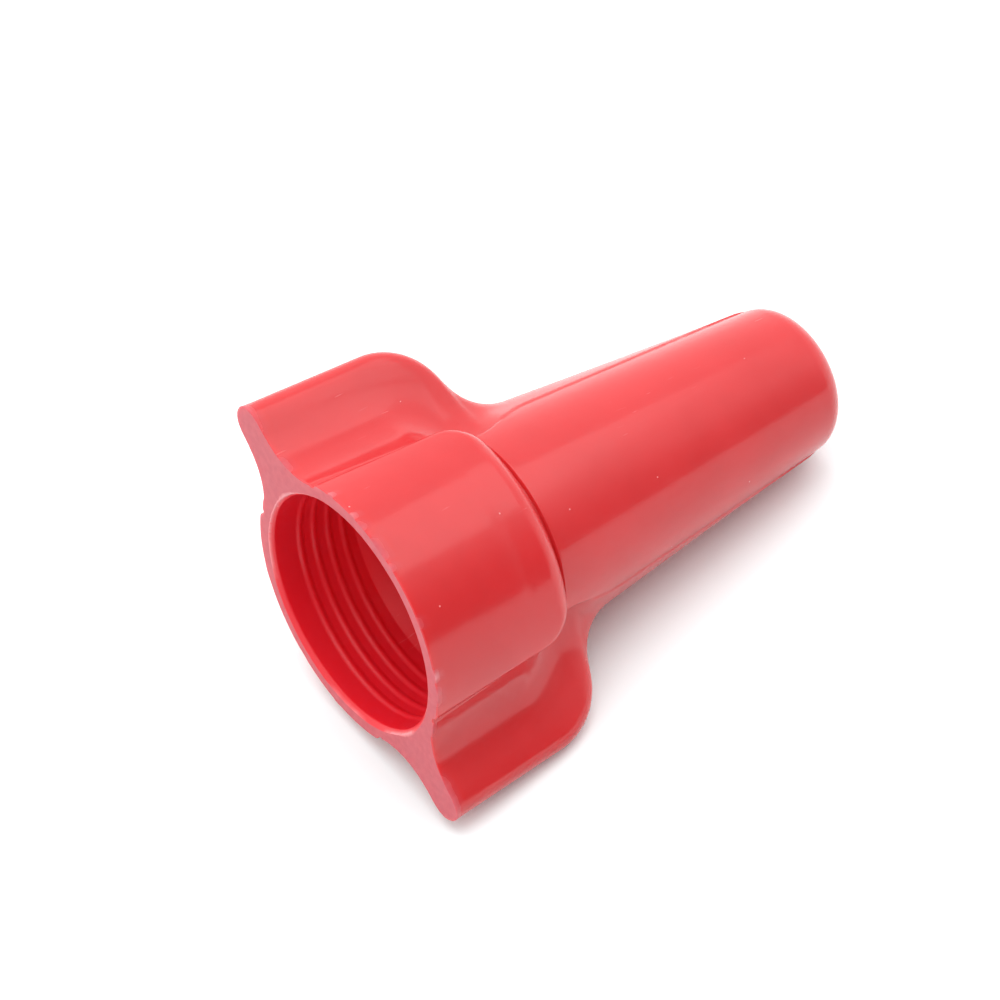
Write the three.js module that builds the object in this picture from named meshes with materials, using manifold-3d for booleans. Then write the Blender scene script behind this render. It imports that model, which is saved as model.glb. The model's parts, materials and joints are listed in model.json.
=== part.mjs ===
// Winged twist-on wire connector: a one-piece moulded plastic shell with two finger wings,
// and the tapered square-wire spring that grips the twisted conductors inside its barrel.
//
// Both pieces are modelled on the connector's own axis (+Z from the open mouth to the closed
// tip, wings along X). The group then lays the connector down the way it rests on a table:
// on one wing, the skirt and the end of the barrel. Millimetres, +Z up.

import {
  Box3, BufferAttribute, BufferGeometry, Group, LatheGeometry, MathUtils,
  Matrix4, Mesh, MeshStandardMaterial, Vector2, Vector3,
} from 'three';
import { ParametricGeometry } from 'three/addons/geometries/ParametricGeometry.js';
import { ConvexHull } from 'three/addons/math/ConvexHull.js';
import { mergeVertices } from 'three/addons/utils/BufferGeometryUtils.js';
import Module from 'manifold-3d';

const wasm = await Module();
wasm.setup();

// ---- Driving dimensions ---------------------------------------------------------------

const LENGTH = 29.8;            // mouth face to closed tip

// Wings: reach from the axis at the mouth, and the corners of the outline along the axis.
const WING_REACH = 11.5;
const WING_CORNER = { z: 9.57, reach: 10.97, radius: 3.8 };
const WING_FOOT = { z: 11.32, reach: 6.02, radius: 3.1 };
const RIB_END = { z: 28, reach: 4.19 };
const WING_HALF_THICKNESS = 1.05;
const WING_THINNING = 0.022;    // per millimetre away from the mouth
const WING_FLARE_POWER = 3.6;   // how late the wing thickens towards its root
const RIB_HALF_THICKNESS = 0.35;

// Body under the wings, valley angles measured from the wing plane.
const BODY_RADIUS = 7.2;        // at the mouth
const BODY_DRAFT = 0.06;        // per millimetre away from the mouth
const NECK_RADIUS = 5.3;        // just in front of the barrel
const NECK_START = 5.8;
const NECK_END = 9.1;
const VALLEY_RISE = 9.7;        // the valleys beside the ribs rise from here
const VALLEY_END = 11.8;        // and run out here
const VALLEY_AT_MOUTH = 26;     // degrees
const VALLEY_AT_BARREL = 33;    // degrees

// Raised skirt panels, one on each side between the wings.
const PANEL_RADIUS = 7.07;
const PANEL_SWELL = 0.42;       // extra radius towards the wings
const PANEL_DRAFT = 0.018;      // per millimetre away from the mouth
const PANEL_EDGE_AT_MOUTH = 29; // degrees from the wing plane
const PANEL_EDGE_SLOPE = 0.55;  // degrees per millimetre
const PANEL_END = 8.85;
const PANEL_CORNER = 1.9;
const PANEL_SIDE_ROUND = 0.35;
const PANEL_END_ROUND = 1.15;
const WALL_STEEPNESS = 4;       // rise of a side wall per millimetre along the surface

// Barrel cone behind its small lip.
const BARREL_START = 9.2;
const BARREL_RADIUS = 5.83;
const BARREL_TAPER = 0.087;
const BARREL_LIP_HEIGHT = 0.12;
const BARREL_LIP_WIDTH = 0.08;
const BARREL_LIP_SLOPE = 0.3;   // fall per millimetre in front of the lip
const TIP_ROUND = 1.4;

// Bore: skirt socket, funnel and spring seat.
const MOUTH_CHAMFER = 0.3;
const SOCKET_RADIUS = 6.42;
const SOCKET_DEPTH = 5;
const SEAT_START = 8.6;
const SEAT_RADIUS = 4.88;
const SEAT_END = 27;
const SEAT_END_RADIUS = 3.4;
const SEAT_END_ROUND = 0.8;

// Moulded thread ridge in the socket.
const THREAD_PITCH = 0.87;
const THREAD_START = 1.0;
const THREAD_TURNS = 4.5;
const THREAD_HEIGHT = 0.24;
const THREAD_HALF_WIDTH = 0.26;
const THREAD_ROOT = 0.12;       // how far the ridge is sunk into the wall
const THREAD_FADE_TURNS = 0.4;  // the ridge grows and dies away over this length

// Spring: square wire coiled corner outwards, clear of its seat.
const WIRE_SIDE = 1.1;
const SPRING_CLEARANCE = 0.3;
const SPRING_PITCH = 1.7;
const SPRING_START = 9.9;
const SPRING_TURNS = 9.4;

// Facets.
const BORE_SEGMENTS = 48;
const COIL_SEGMENTS = 24;       // per turn of the spring
const THREAD_SEGMENTS = 48;     // per turn of the thread

// ---- Outline of the wings -------------------------------------------------------------

/** Rounds the corner between two straight stretches of an outline reach(z). */
function roundedCorner(before, corner, after) {
  const point = ({ z, reach }) => new Vector2(z, reach);
  const back = point(before).sub(point(corner)).normalize();
  const ahead = point(after).sub(point(corner)).normalize();
  const halfAngle = Math.acos(back.dot(ahead)) / 2;
  const bisector = back.clone().add(ahead).normalize();
  const centre = point(corner).addScaledVector(bisector, corner.radius / Math.sin(halfAngle));
  const run = corner.radius / Math.tan(halfAngle);
  const convex = centre.y < corner.reach;
  return {
    from: corner.z + back.x * run,
    to: corner.z + ahead.x * run,
    reach(z) {
      const height = Math.sqrt(Math.max(0, corner.radius ** 2 - (z - centre.x) ** 2));
      return centre.y + (convex ? height : -height);
    },
  };
}

const WING_TIP = { z: 0, reach: WING_REACH };
const shoulder = roundedCorner(WING_TIP, WING_CORNER, WING_FOOT);
const foot = roundedCorner(WING_CORNER, WING_FOOT, RIB_END);

function lineReach(a, b, z) {
  return MathUtils.mapLinear(z, a.z, b.z, a.reach, b.reach);
}

/** Distance from the axis to the edge of the wing, and of the low rib that it runs into. */
function wingReach(z) {
  if (z < shoulder.from) return lineReach(WING_TIP, WING_CORNER, z);
  if (z < shoulder.to) return shoulder.reach(z);
  if (z < foot.from) return lineReach(WING_CORNER, WING_FOOT, z);
  if (z < foot.to) return foot.reach(z);
  return lineReach(WING_FOOT, RIB_END, z);
}

// ---- Outer surface: distance from the axis at an angle and a height ----------------------

const degrees = MathUtils.degToRad;

function barrelCone(z) {
  return BARREL_RADIUS - BARREL_TAPER * (z - BARREL_START);
}

/** Radius of the barrel, from its sharp lip to its rounded tip. */
function barrelProfile(z) {
  if (z < BARREL_START) {
    const ahead = BARREL_START - z;
    const lip = BARREL_LIP_HEIGHT * MathUtils.smoothstep(ahead, 0, BARREL_LIP_WIDTH);
    return barrelCone(z) - lip - BARREL_LIP_SLOPE * ahead;
  }
  const intoTip = z - (LENGTH - TIP_ROUND);
  if (intoTip <= 0) return barrelCone(z);
  const rounding = TIP_ROUND - Math.sqrt(Math.max(0, TIP_ROUND ** 2 - intoTip ** 2));
  return barrelCone(z) - rounding;
}

/** Radius of the body that the panels and the barrel stand on. */
function bodyRadius(z) {
  const skirt = BODY_RADIUS - BODY_DRAFT * z;
  const body = MathUtils.lerp(skirt, NECK_RADIUS, MathUtils.smoothstep(z, NECK_START, NECK_END));
  const rise = MathUtils.smoothstep(z, VALLEY_RISE, VALLEY_END);
  return body + (barrelCone(z) - NECK_RADIUS) * rise;
}

/** Where the wing's side runs out into the body: an angle from the wing plane. */
function valleyAngle(z) {
  const onSkirt = MathUtils.mapLinear(z, 0, BARREL_START, VALLEY_AT_MOUTH, VALLEY_AT_BARREL);
  const atSkirt = degrees(Math.min(onSkirt, VALLEY_AT_BARREL));
  const ribTangent = Math.acos(Math.min(1, barrelCone(z) / lineReach(WING_FOOT, RIB_END, z)));
  const alongBarrel = MathUtils.smoothstep(z, BARREL_START, foot.to);
  return MathUtils.lerp(atSkirt, ribTangent, alongBarrel);
}

/** Radius of the barrel, which stops short of the rib in a valley on each side of it. */
function barrelRadius(angle, z) {
  if (z >= VALLEY_END) return barrelProfile(z);
  const aside = BARREL_RADIUS * Math.max(0, valleyAngle(z) - angle);
  return barrelProfile(z) - WALL_STEEPNESS * aside;
}

/** Half the wing's thickness at distance x from the axis: a round edge and a flared root. */
function wingHalfThickness(x, z) {
  const toRib = MathUtils.smoothstep(z, NECK_END, foot.to);
  const wing = WING_HALF_THICKNESS - WING_THINNING * z;
  const edge = MathUtils.lerp(wing, RIB_HALF_THICKNESS, toRib);
  const power = MathUtils.lerp(WING_FLARE_POWER, 1, toRib);
  const reach = wingReach(z);
  const slope = (wingReach(z + 0.01) - reach) / 0.01;
  const rootX = bodyRadius(z) * Math.cos(valleyAngle(z));
  const rootY = bodyRadius(z) * Math.sin(valleyAngle(z));
  const roundDepth = Math.min(edge * Math.hypot(1, slope), 0.8 * (reach - rootX));
  const fromEdge = Math.max(0, reach - x);
  const round = 1 - Math.min(1, fromEdge / roundDepth);
  const flare = Math.min(1, fromEdge / (reach - rootX)) ** power;
  return edge * Math.sqrt(1 - round ** 2) + Math.max(0, rootY - edge) * flare;
}

/** Distance along a ray at the given angle to the side of the wing. */
function wingRadius(angle, z) {
  let inside = 0;
  let outside = wingReach(z) / Math.cos(angle);
  for (let step = 0; step < 40; step += 1) {
    const middle = (inside + outside) / 2;
    const x = middle * Math.cos(angle);
    const y = middle * Math.sin(angle);
    if (y <= wingHalfThickness(x, z)) inside = middle;
    else outside = middle;
  }
  return inside;
}

/** Radius of the raised panel: flat on top, round at its edges, steep down its sides. */
function panelRadius(angle, z) {
  const top = PANEL_RADIUS + PANEL_SWELL * Math.cos(angle) ** 2 - PANEL_DRAFT * z;
  const edge = degrees(PANEL_EDGE_AT_MOUTH + PANEL_EDGE_SLOPE * z);
  const aside = PANEL_RADIUS * (edge - angle) + PANEL_CORNER;
  const along = z - PANEL_END + PANEL_CORNER;
  const corner = Math.hypot(Math.max(0, aside), Math.max(0, along));
  const within = PANEL_CORNER - corner - Math.min(0, Math.max(aside, along));
  const toEnd = MathUtils.smoothstep(along - aside, -PANEL_CORNER, PANEL_CORNER);
  const edgeRound = MathUtils.lerp(PANEL_SIDE_ROUND, PANEL_END_ROUND, toEnd);
  const bend = MathUtils.clamp(edgeRound - within, 0, edgeRound);
  const rounding = edgeRound - Math.sqrt(edgeRound ** 2 - bend ** 2);
  return top - rounding - WALL_STEEPNESS * Math.max(0, -within);
}

function outerRadius(angle, z) {
  if (z > LENGTH - TIP_ROUND) return barrelProfile(z);
  const fromWing = Math.asin(Math.min(1, Math.abs(Math.sin(angle))));
  return Math.max(
    barrelRadius(fromWing, z), bodyRadius(z), wingRadius(fromWing, z), panelRadius(fromWing, z),
  );
}

// ---- Solids ---------------------------------------------------------------------------

/** Turns a closed geometry into a manifold solid. */
function solid(geometry) {
  const bare = geometry.clone();
  bare.deleteAttribute('normal');
  bare.deleteAttribute('uv');
  const merged = mergeVertices(bare, 1e-5);
  const index = Array.from(merged.index.array);
  const corners = [];
  for (let i = 0; i < index.length; i += 3) {
    const [a, b, c] = index.slice(i, i + 3);
    if (a !== b && b !== c && c !== a) corners.push(a, b, c);
  }
  return new wasm.Manifold(new wasm.Mesh({
    numProp: 3,
    vertProperties: new Float32Array(merged.attributes.position.array),
    triVerts: new Uint32Array(corners),
  }));
}

function toGeometry(manifold) {
  const { vertProperties, triVerts } = manifold.getMesh();
  const geometry = new BufferGeometry();
  geometry.setAttribute('position', new BufferAttribute(vertProperties, 3));
  geometry.setIndex(new BufferAttribute(triVerts, 1));
  geometry.computeVertexNormals();
  return geometry;
}

/** A closed skin over rows of a grid; the first and the last row shrink to a point each. */
function closedSkin(columns, rows, place) {
  const surface = (across, along, target) => {
    const column = Math.round(across * columns) % columns;
    const row = Math.round(along * rows);
    place(column, row, target);
  };
  return new ParametricGeometry(surface, columns, rows);
}

// Angles of the outer facets: close together on the wings, wide apart on the panels.
const QUARTER = [
  0, 2.5, 5, 7.5, 10.5, 14, 18, 22, 26, 28.5, 30.5, 32.5, 34.5, 37, 40, 44, 49, 56, 64, 72, 81,
];
const OUTER_ANGLES = [
  ...QUARTER,
  90, ...QUARTER.slice(1).reverse().map((a) => 180 - a),
  ...QUARTER.map((a) => 180 + a),
  270, ...QUARTER.slice(1).reverse().map((a) => 360 - a),
].map(degrees);

// Heights of the outer facets: close together where the shape turns.
const TIP_STEPS = 6;
const OUTER_HEIGHTS = [
  0, 2.5, 5, 6.2, 7, 7.5, 7.85, 8.1, 8.3, 8.5, 8.7, PANEL_END, 8.9,
  BARREL_START, VALLEY_RISE, 10.1, 10.5, 10.9, 11.3, VALLEY_END, 12.4, 13.3, 16, 20, 24,
  ...Array.from({ length: TIP_STEPS + 1 }, (_, i) => (
    LENGTH - TIP_ROUND + TIP_ROUND * Math.sin((i / TIP_STEPS) * (Math.PI / 2)))),
];

function shellOutside() {
  const last = OUTER_HEIGHTS.length + 1;
  return closedSkin(OUTER_ANGLES.length, last, (column, row, target) => {
    const angle = OUTER_ANGLES[column];
    const z = OUTER_HEIGHTS[MathUtils.clamp(row - 1, 0, OUTER_HEIGHTS.length - 1)];
    const radius = row === 0 || row === last ? 0 : outerRadius(angle, z);
    target.set(radius * Math.cos(angle), radius * Math.sin(angle), z);
  });
}

/** Radius of the spring's seat, a cone that narrows towards the tip. */
function seatRadius(z) {
  return MathUtils.mapLinear(z, SEAT_START, SEAT_END, SEAT_RADIUS, SEAT_END_RADIUS);
}

function shellBore() {
  const below = -1;
  const profile = [
    new Vector2(0, below),
    new Vector2(SOCKET_RADIUS + MOUTH_CHAMFER, below),
    new Vector2(SOCKET_RADIUS + MOUTH_CHAMFER, 0),
    new Vector2(SOCKET_RADIUS, MOUTH_CHAMFER),
    new Vector2(SOCKET_RADIUS, SOCKET_DEPTH),
    new Vector2(SEAT_RADIUS, SEAT_START),
    new Vector2(SEAT_END_RADIUS, SEAT_END),
    new Vector2(SEAT_END_RADIUS - SEAT_END_ROUND, SEAT_END + SEAT_END_ROUND),
    new Vector2(0, SEAT_END + SEAT_END_ROUND),
  ];
  return new LatheGeometry(profile, BORE_SEGMENTS).rotateX(Math.PI / 2);
}

/**
 * A bar wound into a helix. outline(turn) gives the corners of its cross-section as
 * [radius, height] pairs; both ends close on the middle of the section.
 */
function helicalBar(turns, segmentsPerTurn, outline) {
  const steps = Math.round(turns * segmentsPerTurn);
  const columns = outline(0).length;
  return closedSkin(columns, steps + 2, (column, row, target) => {
    const step = MathUtils.clamp(row - 1, 0, steps);
    const turn = step / segmentsPerTurn;
    const section = outline(turn);
    let [radius, height] = section[column];
    if (row === 0 || row === steps + 2) {
      radius = section.reduce((sum, corner) => sum + corner[0], 0) / columns;
      height = section.reduce((sum, corner) => sum + corner[1], 0) / columns;
    }
    const angle = 2 * Math.PI * turn;
    target.set(radius * Math.cos(angle), radius * Math.sin(angle), height);
  });
}

/** The moulded thread: a low triangular ridge whose foot is sunk into the socket wall. */
function threadRidge() {
  return helicalBar(THREAD_TURNS, THREAD_SEGMENTS, (turn) => {
    const fade = Math.min(1, Math.min(turn, THREAD_TURNS - turn) / THREAD_FADE_TURNS);
    const z = THREAD_START + THREAD_PITCH * turn;
    const foot = SOCKET_RADIUS + THREAD_ROOT;
    const crest = SOCKET_RADIUS - THREAD_HEIGHT * fade;
    const half = THREAD_HALF_WIDTH;
    return [[foot, z + half], [foot, z - half], [crest, z - 0.3 * half], [crest, z + 0.3 * half]];
  });
}

/** The spring: the wire's corners point outwards, inwards and along the axis. */
function springCoil() {
  return helicalBar(SPRING_TURNS, COIL_SEGMENTS, (turn) => {
    const half = WIRE_SIDE / Math.SQRT2;
    const z = SPRING_START + SPRING_PITCH * turn;
    const radius = seatRadius(z) - SPRING_CLEARANCE - half;
    return [[radius + half, z], [radius, z - half], [radius - half, z], [radius, z + half]];
  });
}

// ---- Pieces ---------------------------------------------------------------------------

function wingedShell() {
  const hollow = solid(shellOutside()).subtract(solid(shellBore()));
  const geometry = toGeometry(hollow.add(solid(threadRidge())));
  const material = new MeshStandardMaterial({ color: 0xe5484c, roughness: 0.32, metalness: 0 });
  const mesh = new Mesh(geometry, material);
  mesh.name = 'winged_shell';
  return mesh;
}

function gripSpring() {
  const geometry = toGeometry(solid(springCoil()));
  const material = new MeshStandardMaterial({ color: 0xb8b5ac, roughness: 0.35, metalness: 1 });
  const mesh = new Mesh(geometry, material);
  mesh.name = 'grip_spring';
  return mesh;
}

// ---- Lying on a table -------------------------------------------------------------------

/**
 * The face of the shell's convex hull that touches one wing, the skirt and the barrel's end,
 * which are the three places where the connector rests.
 */
function restingFace(shell) {
  const towardsTable = new Vector3(-0.6, -0.79, 0.13).normalize();
  const corners = shell.geometry.attributes.position;
  const points = Array.from({ length: corners.count }, (_, i) => (
    new Vector3().fromBufferAttribute(corners, i)));
  const faces = new ConvexHull().setFromPoints(points).faces;
  const facing = (face) => face.normal.dot(towardsTable);
  return faces.reduce((best, face) => (facing(face) > facing(best) ? face : best));
}

/** Lays the connector down with its axis along X and stands it on Z = 0 about the origin. */
function layDown(group, shell) {
  const up = restingFace(shell).normal.clone().negate();
  const axis = new Vector3(0, 0, 1);
  const forward = axis.addScaledVector(up, -axis.dot(up)).normalize();
  const left = new Vector3().crossVectors(up, forward);
  group.applyMatrix4(new Matrix4().makeBasis(forward, left, up).transpose());
  group.updateMatrixWorld(true);
  const box = new Box3().setFromObject(group, true);
  group.position.set(-(box.min.x + box.max.x) / 2, -(box.min.y + box.max.y) / 2, -box.min.z);
}

const connector = new Group();
const shell = wingedShell();
connector.add(shell, gripSpring());
layDown(connector, shell);

export default connector;
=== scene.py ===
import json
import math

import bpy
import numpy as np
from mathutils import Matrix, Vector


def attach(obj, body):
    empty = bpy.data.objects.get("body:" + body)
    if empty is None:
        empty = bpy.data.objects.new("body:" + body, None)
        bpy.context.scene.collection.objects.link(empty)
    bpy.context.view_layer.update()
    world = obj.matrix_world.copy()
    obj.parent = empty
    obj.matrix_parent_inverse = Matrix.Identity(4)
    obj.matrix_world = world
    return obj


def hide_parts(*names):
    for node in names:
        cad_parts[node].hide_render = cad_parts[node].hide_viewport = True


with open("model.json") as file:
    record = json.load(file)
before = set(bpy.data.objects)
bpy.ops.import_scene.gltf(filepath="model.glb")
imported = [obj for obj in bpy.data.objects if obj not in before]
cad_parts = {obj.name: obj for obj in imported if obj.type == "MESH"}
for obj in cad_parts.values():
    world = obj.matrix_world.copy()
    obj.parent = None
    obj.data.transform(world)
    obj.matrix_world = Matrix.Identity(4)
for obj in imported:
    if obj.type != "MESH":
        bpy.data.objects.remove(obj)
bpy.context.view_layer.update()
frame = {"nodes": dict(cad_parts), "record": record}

# Winged twist-on wire connector lying on a white table: a glossy moulded shell with two
# finger wings, and the tapered square-wire spring that sits in its barrel.
#
# Both pieces are shaped on the connector's own axes: x along the wings, y across them and
# z from the open mouth to the closed tip, in millimetres. They are then laid in the row
# frame, in metres, where the CAD shell lies.

MM = 0.001


# ---- Where the connector lies ----------------------------------------------------------

def connector_axes():
    """Matrix from the connector's own axes, in millimetres, to the row frame, in metres.

    The mouth face's mount gives the axis. The two points of that face furthest apart are
    the tips of the wings, and the mouth's centre is halfway between them.
    """
    mount = next(m for m in frame["record"]["mounts"] if m["name"] == "mouth_face")
    outward = np.array(mount["axis"], float)
    forward = -outward / np.linalg.norm(outward)
    mesh = frame["nodes"]["winged_shell"].data
    points = np.empty(len(mesh.vertices) * 3)
    mesh.vertices.foreach_get("co", points)
    points = points.reshape(-1, 3)
    height = points @ forward
    face = points[height < height.min() + 2e-5]
    middle = face.mean(axis=0)
    raised = (face - middle)[:, 2] > 0
    reach = np.linalg.norm(face - middle, axis=1)
    upper = face[np.argmax(np.where(raised, reach, 0))]
    lower = face[np.argmax(np.where(raised, 0, reach))]
    wing = upper - lower
    wing -= forward * (wing @ forward)
    wing /= np.linalg.norm(wing)
    across = np.cross(forward, wing)
    matrix = np.eye(4)
    matrix[:3, :3] = np.column_stack([wing, across, forward]) * MM
    matrix[:3, 3] = (upper + lower) / 2
    return matrix


LAY = connector_axes()
MOUTH = Vector(LAY[:3, 3])


# ---- Dimensions of the connector, in millimetres ---------------------------------------

LENGTH = 29.8
WING_TIP = (0.0, 11.5)
WING_CORNER = (9.57, 10.97)
WING_CORNER_RADIUS = 3.8
WING_FOOT = (11.32, 6.02)
WING_FOOT_RADIUS = 3.1
RIB_END = (28.0, 4.19)
WING_HALF_THICKNESS = 1.05
WING_THINNING = 0.022
WING_FLARE_POWER = 3.6
RIB_HALF_THICKNESS = 0.35

BODY_RADIUS = 7.2
BODY_DRAFT = 0.06
NECK_RADIUS = 5.3
NECK_START = 5.8
NECK_END = 9.1
VALLEY_RISE = 9.7
VALLEY_END = 11.8
ROOT_BLEND = 0.3
PANEL_BLEND = 0.4
VALLEY_AT_MOUTH = math.radians(26)
VALLEY_AT_BARREL = math.radians(33)

PANEL_RADIUS = 7.07
PANEL_SWELL = 0.42
PANEL_DRAFT = 0.018
PANEL_EDGE_AT_MOUTH = math.radians(29)
PANEL_EDGE_SLOPE = math.radians(0.55)
PANEL_END = 8.85
PANEL_CORNER = 1.9
PANEL_SIDE_ROUND = 0.35
PANEL_END_ROUND = 1.15
WALL_STEEPNESS = 4.0

BARREL_START = 9.2
BARREL_RADIUS = 5.83
BARREL_TAPER = 0.087
BARREL_LIP_ROUND = 0.1
BARREL_LIP_HEIGHT = 0.12
BARREL_LIP_WIDTH = 0.08
BARREL_LIP_SLOPE = 0.3
TIP_ROUND = 1.4

MOUTH_CHAMFER = 0.22
SOCKET_RADIUS = 6.42
SOCKET_DEPTH = 5.0
SEAT_START = 8.6
SEAT_RADIUS = 4.88
SEAT_END = 27.0
SEAT_END_RADIUS = 3.4
SEAT_END_ROUND = 0.8
MOUTH_EDGE_ROUND = 0.06

THREAD_PITCH = 0.87
THREAD_START = 1.0
THREAD_TURNS = 4.5
THREAD_HEIGHT = 0.08
THREAD_HALF_WIDTH = 0.3
THREAD_FADE_TURNS = 0.5

WIRE_SIDE = 1.08
WIRE_CORNER_ROUND = 0.16
SPRING_CLEARANCE = 0.32
SPRING_PITCH = 1.7
SPRING_START = 9.9
SPRING_TURNS = 9.4
STEPS_PER_TURN = 60
CORNER_BENDS = (-30, -10, 10, 30)


# ---- Shape of the shell ------------------------------------------------------------------

def smooth(value, low, high):
    t = np.clip((value - low) / (high - low), 0, 1)
    return t * t * (3 - 2 * t)


def blended_max(a, b, blend):
    """The larger of two heights, with the corner between them filled in."""
    return np.maximum(a, b) + np.maximum(0, blend - np.abs(a - b)) ** 2 / (4 * blend)


def line_reach(a, b, z):
    return a[1] + (b[1] - a[1]) * (z - a[0]) / (b[0] - a[0])


def rounded_corner(before, corner, after, radius):
    """Start, end and centre of the arc that rounds a corner of an outline."""
    corner = np.array(corner)
    back = np.array(before) - corner
    back /= np.linalg.norm(back)
    ahead = np.array(after) - corner
    ahead /= np.linalg.norm(ahead)
    half_angle = math.acos(back @ ahead) / 2
    bisector = (back + ahead) / np.linalg.norm(back + ahead)
    centre = corner + bisector * radius / math.sin(half_angle)
    run = radius / math.tan(half_angle)
    return corner[0] + back[0] * run, corner[0] + ahead[0] * run, centre


SHOULDER_FROM, SHOULDER_TO, SHOULDER_CENTRE = rounded_corner(
    WING_TIP, WING_CORNER, WING_FOOT, WING_CORNER_RADIUS)
FOOT_FROM, FOOT_TO, FOOT_CENTRE = rounded_corner(
    WING_CORNER, WING_FOOT, RIB_END, WING_FOOT_RADIUS)


def wing_reach(z):
    """Distance from the axis to the edge of the wing, and of the rib that it runs into."""
    shoulder = SHOULDER_CENTRE[1] + np.sqrt(
        np.maximum(0, WING_CORNER_RADIUS ** 2 - (z - SHOULDER_CENTRE[0]) ** 2))
    foot = FOOT_CENTRE[1] - np.sqrt(
        np.maximum(0, WING_FOOT_RADIUS ** 2 - (z - FOOT_CENTRE[0]) ** 2))
    return np.select(
        [z < SHOULDER_FROM, z < SHOULDER_TO, z < FOOT_FROM, z < FOOT_TO],
        [line_reach(WING_TIP, WING_CORNER, z), shoulder,
         line_reach(WING_CORNER, WING_FOOT, z), foot],
        line_reach(WING_FOOT, RIB_END, z))


def barrel_cone(z):
    return BARREL_RADIUS - BARREL_TAPER * (z - BARREL_START)


def barrel_profile(z):
    """Radius of the barrel, from its sharp lip to its rounded tip."""
    behind = barrel_cone(z)
    into_lip = np.clip(BARREL_START + BARREL_LIP_ROUND - z, 0, BARREL_LIP_ROUND)
    lip = 0.5 * (BARREL_LIP_ROUND - np.sqrt(BARREL_LIP_ROUND ** 2 - into_lip ** 2))
    ahead = np.maximum(0, BARREL_START - z)
    before = BARREL_LIP_HEIGHT * smooth(ahead, 0, BARREL_LIP_WIDTH) + BARREL_LIP_SLOPE * ahead
    into_tip = np.clip(z - (LENGTH - TIP_ROUND), 0, TIP_ROUND)
    tip = TIP_ROUND - np.sqrt(np.maximum(0, TIP_ROUND ** 2 - into_tip ** 2))
    return behind - lip - before - tip


def body_radius(z):
    """Radius of the body that the panels and the barrel stand on."""
    skirt = BODY_RADIUS - BODY_DRAFT * z
    body = skirt + (NECK_RADIUS - skirt) * smooth(z, NECK_START, NECK_END)
    rise = smooth(z, VALLEY_RISE, VALLEY_END)
    return body + (barrel_cone(z) - NECK_RADIUS) * rise


def valley_angle(z):
    """Where the wing's side runs out into the body: an angle from the wing plane."""
    at_skirt = VALLEY_AT_MOUTH + (VALLEY_AT_BARREL - VALLEY_AT_MOUTH) * z / BARREL_START
    rib_tangent = np.arccos(np.minimum(1, barrel_cone(z) / line_reach(WING_FOOT, RIB_END, z)))
    mix = smooth(z, BARREL_START, FOOT_TO)
    return np.minimum(at_skirt, VALLEY_AT_BARREL) * (1 - mix) + rib_tangent * mix


def barrel_radius(angle, z):
    """Radius of the barrel, which stops short of the rib in a valley on each side of it."""
    aside = np.maximum(0, valley_angle(z) - angle) * BARREL_RADIUS
    return barrel_profile(z) - np.where(z < VALLEY_END, WALL_STEEPNESS * aside, 0)


def wing_half_thickness(x, z):
    """Half the wing's thickness at distance x from the axis: a round edge, a flared root."""
    to_rib = smooth(z, NECK_END, FOOT_TO)
    wing = WING_HALF_THICKNESS - WING_THINNING * z
    edge = wing + (RIB_HALF_THICKNESS - wing) * to_rib
    power = WING_FLARE_POWER + (1 - WING_FLARE_POWER) * to_rib
    reach = wing_reach(z)
    slope = (wing_reach(z + 0.01) - reach) / 0.01
    root_x = body_radius(z) * np.cos(valley_angle(z))
    root_y = body_radius(z) * np.sin(valley_angle(z))
    depth = np.minimum(edge * np.hypot(1, slope), 0.8 * (reach - root_x))
    from_edge = np.maximum(0, reach - x)
    round_off = 1 - np.minimum(1, from_edge / depth)
    flare = np.minimum(1, from_edge / (reach - root_x)) ** power
    return edge * np.sqrt(1 - round_off ** 2) + np.maximum(0, root_y - edge) * flare


def wing_radius(angle, z):
    """Distance along a ray at the given angle to the side of the wing."""
    inside = np.zeros_like(z)
    outside = wing_reach(z) / np.cos(np.minimum(angle, 1.5))
    for _ in range(40):
        middle = (inside + outside) / 2
        within = middle * np.sin(angle) <= wing_half_thickness(middle * np.cos(angle), z)
        inside = np.where(within, middle, inside)
        outside = np.where(within, outside, middle)
    return inside


def panel_radius(angle, z):
    """Radius of the raised panel: flat on top, round at its edges, steep down its sides."""
    top = PANEL_RADIUS + PANEL_SWELL * np.cos(angle) ** 2 - PANEL_DRAFT * z
    edge = PANEL_EDGE_AT_MOUTH + PANEL_EDGE_SLOPE * z
    aside = PANEL_RADIUS * (edge - angle) + PANEL_CORNER
    along = z - PANEL_END + PANEL_CORNER
    corner = np.hypot(np.maximum(0, aside), np.maximum(0, along))
    within = PANEL_CORNER - corner - np.minimum(0, np.maximum(aside, along))
    to_end = smooth(along - aside, -PANEL_CORNER, PANEL_CORNER)
    edge_round = PANEL_SIDE_ROUND + (PANEL_END_ROUND - PANEL_SIDE_ROUND) * to_end
    bend = np.clip(edge_round - within, 0, edge_round)
    rounding = edge_round - np.sqrt(edge_round ** 2 - bend ** 2)
    return top - rounding - WALL_STEEPNESS * np.maximum(0, -within)


def outer_radius(angle, z):
    from_wing = np.arcsin(np.minimum(1, np.abs(np.sin(angle))))
    winged = blended_max(body_radius(z), wing_radius(from_wing, z), ROOT_BLEND)
    bare = np.maximum(barrel_radius(from_wing, z), winged)
    whole = blended_max(bare, panel_radius(from_wing, z), PANEL_BLEND)
    return np.where(z > LENGTH - TIP_ROUND, barrel_profile(z), whole)


def seat_radius(z):
    """Radius of the spring's seat, a cone that narrows towards the tip."""
    slope = (SEAT_END_RADIUS - SEAT_RADIUS) / (SEAT_END - SEAT_START)
    return SEAT_RADIUS + slope * (z - SEAT_START)


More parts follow.
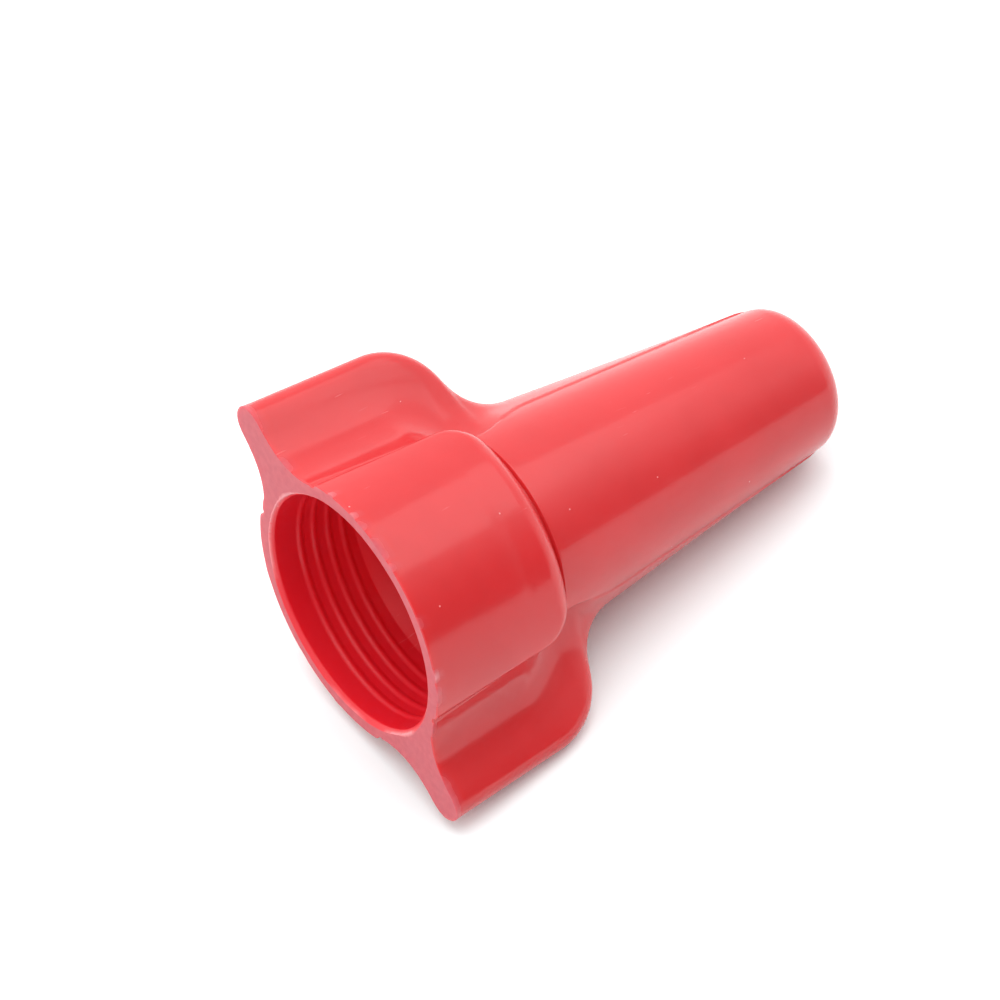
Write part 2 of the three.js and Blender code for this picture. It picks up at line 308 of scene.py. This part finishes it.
def inner_radius(angle, z):
    """Radius of the bore: chamfer, threaded socket, funnel and spring seat."""
    chamfer = np.maximum(0, MOUTH_CHAMFER - z)
    funnel = SOCKET_RADIUS + (SEAT_RADIUS - SOCKET_RADIUS) * np.clip(
        (z - SOCKET_DEPTH) / (SEAT_START - SOCKET_DEPTH), 0, 1)
    bore = np.where(z < SEAT_START, funnel, seat_radius(z)) + chamfer
    turn = (angle / (2 * math.pi)) % 1
    nearest = np.round((z - THREAD_START) / THREAD_PITCH - turn) + turn
    fade = np.clip(np.minimum(nearest, THREAD_TURNS - nearest) / THREAD_FADE_TURNS, 0, 1)
    offset = np.abs(z - THREAD_START - THREAD_PITCH * nearest) / THREAD_HALF_WIDTH
    ridge = THREAD_HEIGHT * fade * np.maximum(0, 1 - offset ** 2) ** 3
    return bore - ridge


# ---- Torn and nicked mouth -----------------------------------------------------------------

# Burrs and nicks on the outer rim of the mouth: angle and half width in degrees, height in mm.
RIM_MARKS = (
    (3, 4, 0.05), (12, 3, -0.05), (40.3, 1.6, 0.10), (54.4, 1.3, 0.09), (60, 2.5, -0.05),
    (71, 5.5, -0.11), (80, 2, 0.05), (104, 3, -0.04), (127, 2.6, 0.13), (137, 6, 0.06),
    (158, 5, 0.05), (176, 4, 0.06), (204, 4, -0.05), (237, 3, 0.05), (262, 4, -0.05),
    (300, 4, 0.05), (337, 3.5, 0.09),
)
RIM_MARK_DEPTH = 0.35
RIM_EVENNESS = 0.7
RIM_SEED = 3

# Torn flash inside the mouth: angle and half width in degrees, reach in mm.
BORE_FLASH = ((0, 34, 0.11), (-42, 22, 0.07), (75, 12, 0.03), (187, 16, 0.08), (230, 14, 0.04))
FLASH_DEPTH = 0.12
FLASH_EVENNESS = 0.25
FLASH_SEED = 5


def bumps(angle, marks):
    """Sum of smooth bumps placed around the axis."""
    total = np.zeros_like(angle)
    for centre, half_width, height in marks:
        away = (np.degrees(angle) - centre + 180) % 360 - 180
        total += height * np.maximum(0, 1 - (away / half_width) ** 2)
    return total


def ragged(columns, seed, evenness):
    """Uneven values around the ring, from evenness up to 1, the same every time."""
    rough = np.random.RandomState(seed).rand(columns)
    return evenness + (1 - evenness) * (0.65 * rough + 0.35 * np.roll(rough, 1))


# ---- Meshes --------------------------------------------------------------------------------

def laid(points):
    """Points on the connector's own axes, taken to the row frame."""
    return points @ LAY[:3, :3].T + LAY[:3, 3]


def mesh_from_rows(name, rows, start, end):
    """A closed skin over rings of points, with a point at each end."""
    count, columns = rows.shape[:2]
    points = np.concatenate([[start], rows.reshape(-1, 3), [end]])
    ring = np.arange(columns)
    after = (ring + 1) % columns
    faces = []
    for row in range(count - 1):
        low = 1 + row * columns
        high = low + columns
        faces.append(np.stack([low + ring, low + after, high + after, high + ring], axis=1))
    quads = np.concatenate(faces)
    first = [(0, 1 + b, 1 + a) for a, b in zip(ring, after)]
    base = 1 + (count - 1) * columns
    last = [(len(points) - 1, base + a, base + b) for a, b in zip(ring, after)]
    mesh = bpy.data.meshes.new(name)
    mesh.from_pydata(laid(points).tolist(), [], quads.tolist() + first + last)
    mesh.validate()
    mesh.update()
    mesh.shade_smooth()
    piece = bpy.data.objects.new(name, mesh)
    bpy.context.scene.collection.objects.link(piece)
    return piece


def convexity(rows):
    """How sharply the skin bends outwards at each point of its grid, from 0 to 1."""
    around = np.roll(rows, -1, axis=1) - np.roll(rows, 1, axis=1)
    along = np.gradient(rows, axis=0)
    normal = np.cross(around, along)
    normal /= np.linalg.norm(normal, axis=2, keepdims=True) + 1e-9
    bend = np.zeros(rows.shape[:2])
    for axis in (0, 1):
        before = np.roll(rows, 1, axis=axis) - rows
        after = np.roll(rows, -1, axis=axis) - rows
        size = np.linalg.norm(before, axis=2) * np.linalg.norm(after, axis=2)
        bend = np.maximum(bend, -((before + after) * normal).sum(axis=2) / (size + 1e-4))
    bend[0] = bend[-1] = 0
    return smooth(bend, 1.2, 6.0)


def paint(piece, name, values):
    """Stores a value per point, with zeros for the two end points."""
    layer = piece.data.attributes.new(name, "FLOAT", "POINT")
    layer.data.foreach_set("value", np.concatenate([[0], values.ravel(), [0]]))


def steps(*stretches):
    """Values over stretches given as (start, end, how many), plus the last end."""
    values = [np.linspace(a, b, n, endpoint=False) for a, b, n in stretches]
    return np.append(np.concatenate(values), stretches[-1][1])


# Where the grid of the skin has its lines: around the axis, along it, and over the mouth face.
QUARTER = np.radians(steps((0, 10, 14), (10, 26, 15), (26, 37, 16), (37, 58, 15), (58, 90, 13)))
ANGLES = np.concatenate([
    QUARTER[:-1], math.pi - QUARTER[:0:-1], math.pi + QUARTER[:-1], 2 * math.pi - QUARTER[:0:-1]])

OUTSIDE = steps(
    (0, 0.06, 3), (0.06, 0.36, 5), (0.36, 6, 18), (6, 9.08, 50), (9.08, 9.32, 10),
    (9.32, 13.5, 34), (13.5, LENGTH - TIP_ROUND, 24))
TIP = LENGTH - TIP_ROUND * (1 - np.sin(np.linspace(0, math.pi / 2, 22)[1:]))
INSIDE = steps((0, 0.3, 6), (0.3, 5.3, 112), (5.3, SEAT_START, 10), (SEAT_START, SEAT_END, 12))
FACE_SHARES = np.array([0.04, 0.12, 0.25, 0.4, 0.55, 0.7, 0.82, 0.92, 0.98])


def build_shell():
    """The shell's skin from the end of its bore, over the mouth face, to its tip."""
    angle = ANGLES[None, :]
    columns = len(ANGLES)
    rim = bumps(angle, RIM_MARKS) * ragged(columns, RIM_SEED, RIM_EVENNESS)
    flash = bumps(angle, BORE_FLASH) * ragged(columns, FLASH_SEED, FLASH_EVENNESS)

    def ring(radius, z):
        return np.stack([radius * np.cos(angle), radius * np.sin(angle), z + 0 * radius], axis=2)

    inside_z = INSIDE[::-1, None] + 0 * angle
    torn = flash * np.maximum(0, 1 - inside_z / FLASH_DEPTH)
    inside = ring(inner_radius(angle + 0 * inside_z, inside_z) - torn, inside_z)
    outside_z = np.concatenate([OUTSIDE, TIP])[:, None] + 0 * angle
    edge = np.maximum(0, MOUTH_EDGE_ROUND - outside_z)
    edge = MOUTH_EDGE_ROUND - np.sqrt(MOUTH_EDGE_ROUND ** 2 - edge ** 2)
    marked = rim * np.maximum(0, 1 - outside_z / RIM_MARK_DEPTH) ** 2
    outside = ring(outer_radius(angle, outside_z) - edge + marked, outside_z)
    low = np.linalg.norm(inside[-1:, :, :2], axis=2)
    high = np.linalg.norm(outside[:1, :, :2], axis=2)
    shares = FACE_SHARES[:, None]
    face = ring(low + (high - low) * shares, np.zeros_like(shares) + 0 * angle)
    seat_end = SEAT_END + SEAT_END_ROUND
    corner = ring(SEAT_END_RADIUS - SEAT_END_ROUND + 0 * angle, seat_end)
    rows = np.concatenate([corner, inside, face, outside])
    shell = mesh_from_rows("shell", rows, (0, 0, seat_end), (0, 0, LENGTH))

    first_face = 1 + len(INSIDE)
    first_outside = first_face + len(FACE_SHARES)
    worn = np.zeros(rows.shape[:2])
    worn[first_face:first_outside] = 1
    near_rim = np.clip(1.2 - outside_z / RIM_MARK_DEPTH, 0, 1)
    worn[first_outside:] = near_rim * np.clip(np.abs(rim) * 25, 0, 1)
    # Marks the bore. There the plastic is rougher and gets a painted glow, a brighter and deeper
    # red that stands in for light shining through the thin wall and bouncing inside.
    bore = np.zeros(rows.shape[:2])
    bore[:first_face] = 1
    pale = np.zeros(rows.shape[:2])
    pale[1:first_face] = np.clip(1.2 - inside_z / FLASH_DEPTH, 0, 1) * np.clip(flash * 25, 0, 1)
    pale[first_outside:] = near_rim * np.clip(rim * 8 - 0.3, 0, 0.6)
    paint(shell, "worn", worn)
    paint(shell, "bore", bore)
    paint(shell, "pale", pale)
    paint(shell, "edge", convexity(rows) * (1 - bore))
    return shell


def build_spring():
    """A square wire with rounded corners, standing on edge, wound down the tapered seat."""
    count = round(SPRING_TURNS * STEPS_PER_TURN)
    turn = np.arange(count + 1) / STEPS_PER_TURN
    z = SPRING_START + SPRING_PITCH * turn
    half = WIRE_SIDE / math.sqrt(2)
    radius = seat_radius(z) - SPRING_CLEARANCE - half
    reach = half - WIRE_CORNER_ROUND * (math.sqrt(2) - 1) - WIRE_CORNER_ROUND
    corners = []
    for quarter in range(4):
        centre = math.radians(90 * quarter)
        for bend in CORNER_BENDS:
            direction = math.radians(90 * quarter + bend)
            corners.append((
                reach * math.cos(centre) + WIRE_CORNER_ROUND * math.cos(direction),
                reach * math.sin(centre) + WIRE_CORNER_ROUND * math.sin(direction)))
    section = np.array(corners[::-1])
    across = radius[:, None] + section[None, :, 0]
    height = z[:, None] + section[None, :, 1]
    around = 2 * math.pi * turn[:, None]
    rows = np.stack([across * np.cos(around), across * np.sin(around), height], axis=2)
    return mesh_from_rows("spring", rows, rows[0].mean(axis=0), rows[-1].mean(axis=0))


# ---- Materials ---------------------------------------------------------------------------

RED = (0.545, 0.0190, 0.0220)
LIGHT_RED = (0.580, 0.0220, 0.0255)
# Painted glow of the bore: a brighter, deeper red that stands in for light through the wall and
# bounces inside.
BORE_PAINTED_GLOW = (0.68, 0.010, 0.022)
# Paler red that is mixed a little into sharply convex edges and corners.
PALER_CONVEX_EDGE = (0.78, 0.16, 0.18)
SPECK = (0.85, 0.42, 0.42)
SCRATCH = (0.85, 0.35, 0.36)
TORN = (0.47, 0.064, 0.084)
LIGHT_TORN = (0.52, 0.088, 0.108)
TORN_EDGE = (0.80, 0.44, 0.46)

DULL_ZINC = (0.42, 0.41, 0.38)
BRIGHT_ZINC = (0.66, 0.65, 0.61)
DARK_PITS = (0.30, 0.29, 0.27)


class Nodes:
    """A small helper that adds and links shader nodes."""

    def __init__(self, name):
        self.material = bpy.data.materials.new(name)
        self.material.use_nodes = True
        self.tree = self.material.node_tree
        self.shader = self.tree.nodes["Principled BSDF"]

    def add(self, kind, **values):
        node = self.tree.nodes.new(kind)
        for key, value in values.items():
            if hasattr(node, key):
                setattr(node, key, value)
            else:
                node.inputs[key.replace("_", " ")].default_value = value
        return node

    def link(self, source, target):
        self.tree.links.new(source, target)

    def noise(self, place, scale, detail):
        node = self.add("ShaderNodeTexNoise", Scale=scale, Detail=detail)
        self.link(place, node.inputs["Vector"])
        return node.outputs["Fac"]

    def math(self, operation, first, second):
        node = self.add("ShaderNodeMath", operation=operation)
        for socket, value in zip(node.inputs, (first, second)):
            if isinstance(value, float):
                socket.default_value = value
            else:
                self.link(value, socket)
        return node.outputs["Value"]

    def span(self, value, low, high, out_low=0.0, out_high=1.0):
        """Takes low..high to out_low..out_high, and stops at both ends."""
        node = self.add("ShaderNodeMapRange", From_Min=low, From_Max=high)
        node.inputs["To Min"].default_value = out_low
        node.inputs["To Max"].default_value = out_high
        self.link(value, node.inputs["Value"])
        return node.outputs["Result"]

    def mix(self, factor, first, second):
        node = self.add("ShaderNodeMix", data_type="RGBA")
        self.link(factor, node.inputs["Factor"])
        for socket, value in zip((node.inputs[6], node.inputs[7]), (first, second)):
            if isinstance(value, tuple):
                socket.default_value = (*value, 1)
            else:
                self.link(value, socket)
        return node.outputs[2]


def plastic():
    """Glossy, slightly translucent red plastic, paler and matt where it was torn or worn, with a
    painted glow in the bore: a brighter, deeper red there.
    """
    m = Nodes("shell_plastic")
    shader = m.shader
    shader.inputs["IOR"].default_value = 1.5
    shader.inputs["Subsurface Weight"].default_value = 0.5
    shader.inputs["Subsurface Radius"].default_value = (1.0, 0.08, 0.1)
    shader.inputs["Subsurface Scale"].default_value = 1.1 * MM
    place = m.add("ShaderNodeTexCoord").outputs["Object"]
    cloud = m.noise(place, scale=240.0, detail=3.0)
    mottle = m.noise(place, scale=2600.0, detail=4.0)
    worn = m.add("ShaderNodeAttribute", attribute_name="worn").outputs["Fac"]
    bore = m.add("ShaderNodeAttribute", attribute_name="bore").outputs["Fac"]
    edge = m.add("ShaderNodeAttribute", attribute_name="edge").outputs["Fac"]
    pale = m.add("ShaderNodeAttribute", attribute_name="pale").outputs["Fac"]

    cells = m.add("ShaderNodeTexVoronoi", Scale=1300.0)
    m.link(place, cells.inputs["Vector"])
    dot = m.math("LESS_THAN", cells.outputs["Distance"], 0.055)
    kind = m.add("ShaderNodeSeparateColor")
    m.link(cells.outputs["Color"], kind.inputs["Color"])
    specks = m.math("MULTIPLY", dot, m.math("GREATER_THAN", kind.outputs["Red"], 0.86))

    drawn_out = m.add("ShaderNodeMapping")
    drawn_out.inputs["Rotation"].default_value = (0.3, 0.5, 0.9)
    drawn_out.inputs["Scale"].default_value = (220.0, 5200.0, 2600.0)
    m.link(place, drawn_out.inputs["Vector"])
    hairs = m.noise(drawn_out.outputs["Vector"], scale=1.0, detail=1.0)
    hairs = m.math("MULTIPLY", m.span(hairs, 0.74, 0.80), m.span(cloud, 0.52, 0.62))

    base = m.mix(m.span(cloud, 0.35, 0.65), RED, LIGHT_RED)
    # Painted glow: the bore is painted a brighter, deeper red than the outside, standing in for
    # light through the thin wall and bounces inside.
    base = m.mix(bore, base, BORE_PAINTED_GLOW)
    # Sharply convex edges and corners, outside the bore, are mixed a little towards a paler red.
    base = m.mix(m.math("MULTIPLY", m.span(edge, 0.3, 1.0), 0.12), base, PALER_CONVEX_EDGE)
    base = m.mix(m.math("MULTIPLY", specks, 0.7), base, SPECK)
    base = m.mix(m.math("MULTIPLY", hairs, 0.15), base, SCRATCH)
    torn = m.mix(m.span(mottle, 0.35, 0.65), TORN, LIGHT_TORN)
    base = m.mix(worn, base, torn)
    base = m.mix(m.math("MULTIPLY", pale, 0.6), base, TORN_EDGE)
    m.link(base, shader.inputs["Base Color"])

    gloss = m.span(mottle, 0.3, 0.7, 0.13, 0.19)
    gloss = m.math("ADD", gloss, m.math("MULTIPLY", hairs, 0.25))
    gloss = m.math("ADD", gloss, m.math("MULTIPLY", bore, 0.2))
    gloss = m.math("ADD", gloss, m.math("MULTIPLY", worn, 0.4))
    m.link(gloss, shader.inputs["Roughness"])

    waves = m.noise(place, scale=650.0, detail=1.0)
    grain = m.noise(place, scale=9000.0, detail=2.0)
    rise = m.math("ADD", waves, m.math("MULTIPLY", grain, 0.02))
    rise = m.math("ADD", rise, m.math("MULTIPLY", specks, 0.5))
    rise = m.math("SUBTRACT", rise, m.math("MULTIPLY", hairs, 0.15))
    rise = m.math("ADD", rise, m.math("MULTIPLY", m.math("MULTIPLY", worn, mottle), 0.8))
    rise = m.math("MULTIPLY", rise, m.span(bore, 0.0, 1.0, 1.0, 0.25))
    bump = m.add("ShaderNodeBump", Strength=0.6, Distance=0.006 * MM)
    m.link(rise, bump.inputs["Height"])
    m.link(bump.outputs["Normal"], shader.inputs["Normal"])
    return m.material


def steel():
    """Drawn, zinc-plated wire: soft streaks, dull patches and a few bright rubbed spots."""
    m = Nodes("spring_steel")
    shader = m.shader
    shader.inputs["Metallic"].default_value = 1.0
    place = m.add("ShaderNodeTexCoord").outputs["Object"]
    cloud = m.noise(place, scale=700.0, detail=4.0)
    grain = m.noise(place, scale=9000.0, detail=3.0)
    tone = m.mix(m.span(cloud, 0.35, 0.65), DULL_ZINC, BRIGHT_ZINC)
    tone = m.mix(m.span(grain, 0.6, 0.75, 0.0, 0.35), tone, DARK_PITS)
    m.link(tone, shader.inputs["Base Color"])
    m.link(m.span(grain, 0.3, 0.7, 0.24, 0.42), shader.inputs["Roughness"])
    bump = m.add("ShaderNodeBump", Strength=0.5, Distance=0.004 * MM)
    m.link(grain, bump.inputs["Height"])
    m.link(bump.outputs["Normal"], shader.inputs["Normal"])
    return m.material


# ---- Table, light and camera -------------------------------------------------------------

TABLE_HALF = 3.0
TABLE_WHITE = (0.865, 0.935, 0.940)
TABLE_WHITER = (0.880, 0.945, 0.950)

STUDIO_BRIGHT = 1.45
STUDIO_DIM = 0.25
DIM_SIDE = Vector((0.0, -0.97, 0.2)).normalized()
DIM_FULL = math.cos(math.radians(28))
DIM_NONE = math.cos(math.radians(66))

SOFTBOX_DIRECTION = (math.radians(-8), math.radians(62))
SOFTBOX_DISTANCE = 0.6
SOFTBOX_SIZE = 0.42
SOFTBOX_POWER = 0.55

SKYLIGHT_DIRECTION = (math.radians(90), math.radians(79))
SKYLIGHT_DISTANCE = 0.8
SKYLIGHT_SIZE = 0.6
SKYLIGHT_POWER = 2.4

FRONT_LIGHT_DIRECTION = (math.radians(-112), math.radians(42))
FRONT_LIGHT_POWER = 0.35

LENS = 122.4
SENSOR = 36.0
# The camera's place, in metres from the mouth's centre, and its directions.
VIEW_POINT = Vector((0.00611, 0.15343, -0.06777))
VIEW_FORWARD = Vector((-0.02717, -0.89053, 0.45410))
VIEW_RIGHT = Vector((-0.45825, 0.41483, 0.78608))


def build_table():
    mesh = bpy.data.meshes.new("table")
    h = TABLE_HALF
    mesh.from_pydata([(-h, -h, 0), (h, -h, 0), (h, h, 0), (-h, h, 0)], [], [(0, 1, 2, 3)])
    table = bpy.data.objects.new("table", mesh)
    bpy.context.scene.collection.objects.link(table)
    m = Nodes("white_table")
    place = m.add("ShaderNodeTexCoord").outputs["Object"]
    cloud = m.noise(place, scale=60.0, detail=3.0)
    base = m.mix(m.span(cloud, 0.3, 0.7), TABLE_WHITE, TABLE_WHITER)
    m.link(base, m.shader.inputs["Base Color"])
    m.shader.inputs["Roughness"].default_value = 0.6
    mesh.materials.append(m.material)


def build_studio():
    """White surroundings, dim on the side where the photographer stands."""
    world = bpy.data.worlds.new("studio")
    world.use_nodes = True
    bpy.context.scene.world = world
    tree = world.node_tree
    background = tree.nodes["Background"]
    coords = tree.nodes.new("ShaderNodeTexCoord")
    facing = tree.nodes.new("ShaderNodeVectorMath")
    facing.operation = "DOT_PRODUCT"
    facing.inputs[1].default_value = DIM_SIDE
    tree.links.new(coords.outputs["Generated"], facing.inputs[0])
    fall = tree.nodes.new("ShaderNodeMapRange")
    fall.interpolation_type = "SMOOTHSTEP"
    fall.inputs["From Min"].default_value = DIM_NONE
    fall.inputs["From Max"].default_value = DIM_FULL
    fall.inputs["To Min"].default_value = STUDIO_BRIGHT
    fall.inputs["To Max"].default_value = STUDIO_DIM
    tree.links.new(facing.outputs["Value"], fall.inputs["Value"])
    tree.links.new(fall.outputs["Result"], background.inputs["Strength"])
    background.inputs["Color"].default_value = (1, 1, 1, 1)


def add_lamp(name, direction, distance, size, power):
    """A square area light that faces the middle of the table from an azimuth and elevation."""
    azimuth, elevation = direction
    towards = Vector((
        math.cos(elevation) * math.cos(azimuth),
        math.cos(elevation) * math.sin(azimuth),
        math.sin(elevation)))
    light = bpy.data.lights.new(name, "AREA")
    light.shape = "SQUARE"
    light.size = size
    light.energy = power
    lamp = bpy.data.objects.new(name, light)
    lamp.location = towards * distance
    lamp.rotation_euler = towards.to_track_quat("Z", "Y").to_euler()
    bpy.context.scene.collection.objects.link(lamp)
    return lamp


def build_lamps():
    """A softbox that shows as a reflection in the plastic, and two lamps that don't."""
    add_lamp("softbox", SOFTBOX_DIRECTION, SOFTBOX_DISTANCE, SOFTBOX_SIZE, SOFTBOX_POWER)
    skylight = add_lamp(
        "skylight", SKYLIGHT_DIRECTION, SKYLIGHT_DISTANCE, SKYLIGHT_SIZE, SKYLIGHT_POWER)
    front_light = add_lamp("front_light", FRONT_LIGHT_DIRECTION, SKYLIGHT_DISTANCE,
                           SKYLIGHT_SIZE, FRONT_LIGHT_POWER)
    skylight.visible_glossy = False
    front_light.visible_glossy = False


def build_camera():
    """A camera placed on the connector's own axes, wherever the connector lies."""
    turn = Matrix((LAY[:3, :3] / MM).tolist())
    forward = (turn @ VIEW_FORWARD).normalized()
    right = turn @ VIEW_RIGHT
    right = (right - forward * right.dot(forward)).normalized()
    up = right.cross(forward)
    data = bpy.data.cameras.new("camera")
    data.lens = LENS
    data.sensor_width = SENSOR
    data.clip_start = 0.01
    camera = bpy.data.objects.new("camera", data)
    facing = Matrix((right, up, -forward)).transposed().to_4x4()
    camera.matrix_world = Matrix.Translation(MOUTH + turn @ VIEW_POINT) @ facing
    bpy.context.scene.collection.objects.link(camera)
    bpy.context.scene.camera = camera


# ---- Scene -------------------------------------------------------------------------------

shell = build_shell()
shell.data.materials.append(plastic())
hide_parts("winged_shell")
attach(shell, "root")

spring = build_spring()
spring.data.materials.append(steel())
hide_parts("grip_spring")
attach(spring, "root")

build_table()
build_studio()
build_lamps()
build_camera()
bpy.context.scene.view_settings.view_transform = "Standard"
